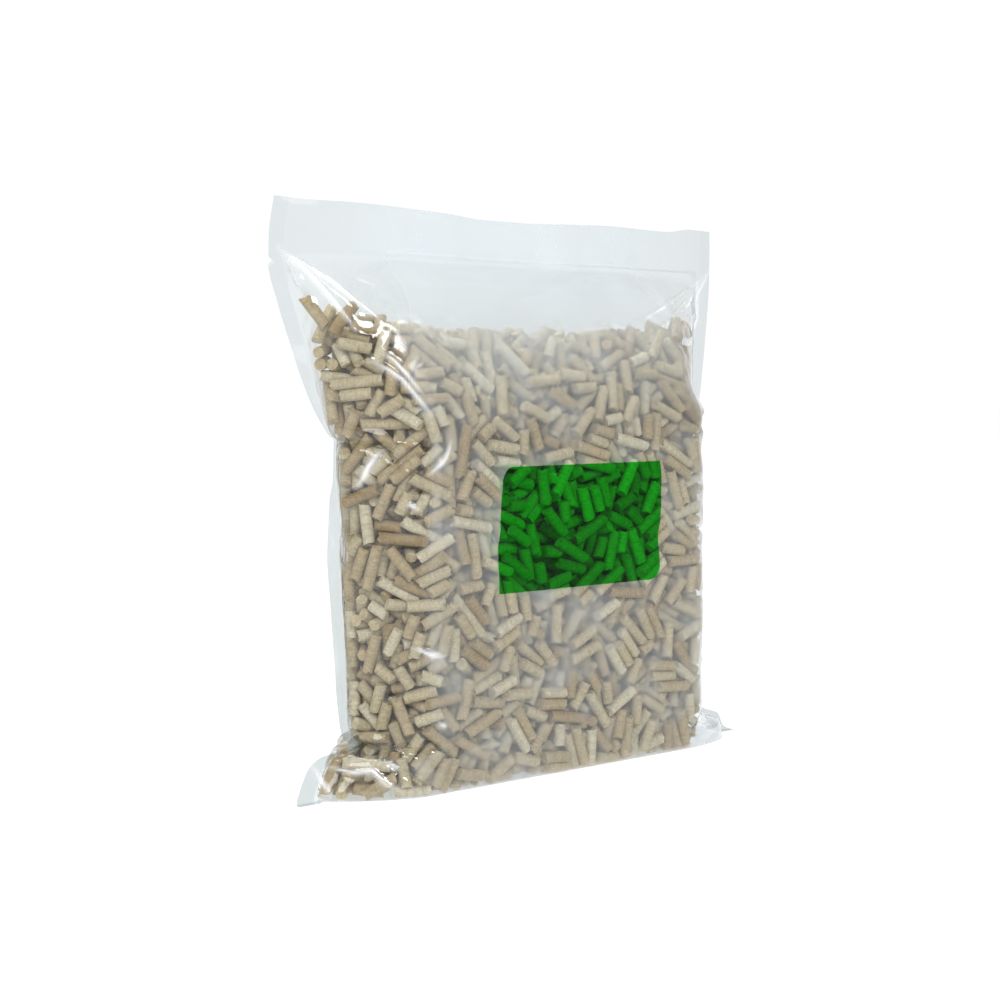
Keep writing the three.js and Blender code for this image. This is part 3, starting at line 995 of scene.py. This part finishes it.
def panel_mask(material, across, along):
    """1 on the panel: a rectangle with two opposite corners rounded, the others sharp."""
    x = add(material, "Math", {0: across, 1: PANEL_MIDDLE[0]}, operation="SUBTRACT").outputs[0]
    z = add(material, "Math", {0: along, 1: PANEL_MIDDLE[1]}, operation="SUBTRACT").outputs[0]
    corner_side = add(material, "Math", {0: x, 1: z}, operation="MULTIPLY")
    rounded = add(material, "Math", {0: corner_side.outputs[0], 1: 0.0}, operation="LESS_THAN")
    radius = add(material, "Math", {0: rounded.outputs[0], 1: PANEL_CORNER},
                 operation="MULTIPLY").outputs[0]
    past, squares = [], []
    for value, half in zip((x, z), PANEL_HALF):
        size = add(material, "Math", {0: value, 1: 0.0}, operation="ABSOLUTE")
        inner = add(material, "Math", {0: half, 1: radius}, operation="SUBTRACT")
        far = add(material, "Math", {0: size.outputs[0], 1: inner.outputs[0]},
                  operation="SUBTRACT").outputs[0]
        plus = add(material, "Math", {0: far, 1: 0.0}, operation="MAXIMUM").outputs[0]
        square = add(material, "Math", {0: plus, 1: plus}, operation="MULTIPLY").outputs[0]
        past.append(far)
        squares.append(square)
    total = add(material, "Math", {0: squares[0], 1: squares[1]}, operation="ADD")
    corner = add(material, "Math", {0: total.outputs[0], 1: 0.0}, operation="SQRT")
    deeper = add(material, "Math", {0: past[0], 1: past[1]}, operation="MAXIMUM")
    within = add(material, "Math", {0: deeper.outputs[0], 1: 0.0}, operation="MINIMUM")
    reach = add(material, "Math", {0: corner.outputs[0], 1: within.outputs[0]},
                operation="ADD")
    edge = add(material, "Math", {0: reach.outputs[0], 1: radius}, operation="SUBTRACT")
    return add(material, "Math", {0: edge.outputs[0], 1: 0.0},
               operation="LESS_THAN").outputs[0]


def print_panel(material, body, ink):
    """Green ink on the film: it tints what is seen through it and hides the frosting."""
    tint = add(material, "BsdfTransparent", {"Color": (0.020, 0.66, 0.032, 1)})
    pigment = add(material, "BsdfDiffuse", {"Color": (0.004, 0.16, 0.012, 1)})
    green = add(material, "MixShader", {"Fac": 0.04, 1: tint.outputs[0],
                                        2: pigment.outputs[0]})
    return add(material, "MixShader", {"Fac": ink, 1: body, 2: green.outputs[0]}).outputs[0]


# %% The whole film
FILM_IOR = 1.5
BOTH_FACES = 1.7              # a film mirrors on both of its faces, less what the first keeps
# how strongly the sharp folds are painted with a white highlight
CREASE_HIGHLIGHT = 0.85
PRINT_DULL = 0.15             # the share of the gloss that is left on the ink


def shine(material, inside_out):
    """How much the film mirrors: little when seen square on, all of it at a glance."""
    ior = add(material, "MapRange", {"Value": inside_out, "To Min": FILM_IOR,
                                     "To Max": 1 / FILM_IOR})
    one_face = add(material, "Fresnel", {"IOR": ior.outputs[0]})
    both = add(material, "Math", {0: one_face.outputs[0], 1: BOTH_FACES},
               operation="MULTIPLY")
    return add(material, "Math", {0: both.outputs[0], 1: 1.0}, operation="MINIMUM").outputs[0]


def polyethylene_film(name, printed):
    """Clear film, frosted in its middle, with a green panel on the printed web."""
    # Blown polyethylene: colourless, very faintly blue, with sharp small reflections where
    # it is clear and broad dim ones where it is frosted. Its sharp folds carry a white painted
    # highlight.
    material, output = new_material(name)
    across, away, along = web_place(material)
    inside_out = add(material, "NewGeometry").outputs["Backfacing"]
    sharp = add(material, "BsdfTransparent", {"Color": (0.92, 0.945, 0.95, 1)}).outputs[0]
    milk = milky(material)
    frost = frosting(material, away, along)
    body = add(material, "MixShader", {
        "Fac": frost, 1: clear_film(material, away, along, sharp, milk),
        2: frosted_film(material, inside_out, sharp, milk),
    }).outputs[0]
    mirror = shine(material, inside_out)
    if printed:
        ink = panel_mask(material, across, along)
        body = print_panel(material, body, ink)
        dulled = add(material, "MapRange", {"Value": ink, "To Min": 1.0, "To Max": PRINT_DULL})
        mirror = add(material, "Math", {0: mirror, 1: dulled.outputs[0]},
                     operation="MULTIPLY").outputs[0]
    # Painted highlight: white diffuse along the sharp folds, read from the crease attribute, in
    # place of the highlights they catch.
    crease = add(material, "Attribute", attribute_name="crease").outputs["Fac"]
    highlight_share = add(material, "Math", {0: crease, 1: CREASE_HIGHLIGHT}, operation="MULTIPLY")
    painted_highlight = add(material, "BsdfDiffuse", {"Color": linear("#FBFCFD")})
    body = add(material, "MixShader", {"Fac": highlight_share.outputs[0], 1: body,
                                       2: painted_highlight.outputs[0]}).outputs[0]
    dull = add(material, "MapRange", {"Value": frost, "To Min": 0.06, "To Max": 0.34})
    gloss = add(material, "BsdfGlossy", {"Roughness": dull.outputs[0]})
    look = add(material, "MixShader", {"Fac": mirror, 1: body, 2: gloss.outputs[0]})
    # Film this thin hardly shades what is under it, so the lamps' rays pass nearly whole.
    lamp_ray = add(material, "LightPath").outputs["Is Shadow Ray"]
    lamp_way = add(material, "BsdfTransparent", {"Color": (0.93, 0.94, 0.94, 1)})
    mixed = add(material, "MixShader", {"Fac": lamp_ray, 1: look.outputs[0],
                                        2: lamp_way.outputs[0]})
    material.node_tree.links.new(mixed.outputs[0], output.inputs["Surface"])
    return material


for web, printed in zip(webs, (True, False)):
    film = polyethylene_film(f"polyethylene_film_{web.name}", printed)
    web.data.materials.append(film)
    print(f"{film.name}: {len(film.node_tree.nodes)} nodes")

# %% [markdown]
# ## Floor, light and camera
#
# Clear film is nearly invisible on plain white, because it only shows by what it mirrors
# and dims. So the room behind the bag and the floor are white, and the room in front is
# darker: the film then reads as a faint grey shape, and its creases catch the softboxes,
# helped by a white highlight painted along the sharp ones. The floor glows a little, as a
# lit table under a still life does, so that no line is seen where it ends.

# %% Stage
FLOOR_RADIUS, FLOOR_GLOW = 12.0, 0.93
BEHIND = (0.624, 0.7815, 0.0)              # from the camera, past the bag
ROOM_FRONT, ROOM_BEHIND = 0.36, 1.02       # how bright the room is on either side

floor = bpy.data.objects.new("floor", bpy.data.meshes.new("floor"))
bm = bmesh.new()
bmesh.ops.create_circle(bm, cap_ends=True, segments=64, radius=FLOOR_RADIUS)
bm.to_mesh(floor.data)
bm.free()
bpy.context.scene.collection.objects.link(floor)
# White paint, matt, lit from below: it gives the eye nothing but a clean ground.
paint, output = new_material("pale_paint")
matt = add(paint, "BsdfDiffuse", {"Color": linear("#808080")})
lit = add(paint, "Emission", {"Strength": FLOOR_GLOW})
table = add(paint, "AddShader", {0: matt.outputs[0], 1: lit.outputs[0]})
paint.node_tree.links.new(table.outputs[0], output.inputs["Surface"])
floor.data.materials.append(paint)

world = bpy.data.worlds.new("studio")
bpy.context.scene.world = world
world.use_nodes = True
background = world.node_tree.nodes["Background"]
background.inputs["Color"].default_value = (1, 1, 1, 1)
ways_out = add(world, "TexCoord").outputs["Generated"]
behind = add(world, "VectorMath", {0: ways_out, 1: BEHIND}, operation="DOT_PRODUCT")
glow = add(world, "MapRange", {"Value": behind.outputs["Value"], "From Min": 0.6,
                               "From Max": 0.88, "To Min": ROOM_FRONT,
                               "To Max": ROOM_BEHIND})
world.node_tree.links.new(glow.outputs[0], background.inputs["Strength"])

# %% Softboxes
def softbox(name, place, size, power):
    """A square area light that faces the middle of the bag."""
    light = bpy.data.lights.new(name, "AREA")
    light.size, light.energy = size, power
    lamp = bpy.data.objects.new(name, light)
    lamp.location = place
    aim = Vector((0, 0, HEIGHT / 2)) - Vector(place)
    lamp.rotation_euler = aim.to_track_quat("-Z", "Y").to_euler()
    bpy.context.scene.collection.objects.link(lamp)


softbox("left", (-1.8, -0.6, 1.4), 0.9, 13)
softbox("front", (-0.8, -2.1, 1.4), 0.7, 27)
softbox("top", (0.0, 0.5, 2.2), 1.6, 40)

# %% Camera
CAMERA_PLACE = (-0.590, -0.7226, 0.2056)
AZIMUTH, PITCH = math.radians(38.6), math.radians(-3.98)
camera = bpy.data.objects.new("camera", bpy.data.cameras.new("camera"))
camera.data.sensor_width, camera.data.lens = 36, 63
camera.location = CAMERA_PLACE
gaze = Vector((math.sin(AZIMUTH) * math.cos(PITCH), math.cos(AZIMUTH) * math.cos(PITCH),
               math.sin(PITCH)))
camera.rotation_euler = gaze.to_track_quat("-Z", "Y").to_euler()
bpy.context.scene.collection.objects.link(camera)
bpy.context.scene.camera = camera
bpy.context.scene.view_settings.view_transform = "Standard"
bpy.context.scene.cycles.transparent_max_bounces = 24
print(f"camera {camera.location.length:.2f} m from the bag's foot")
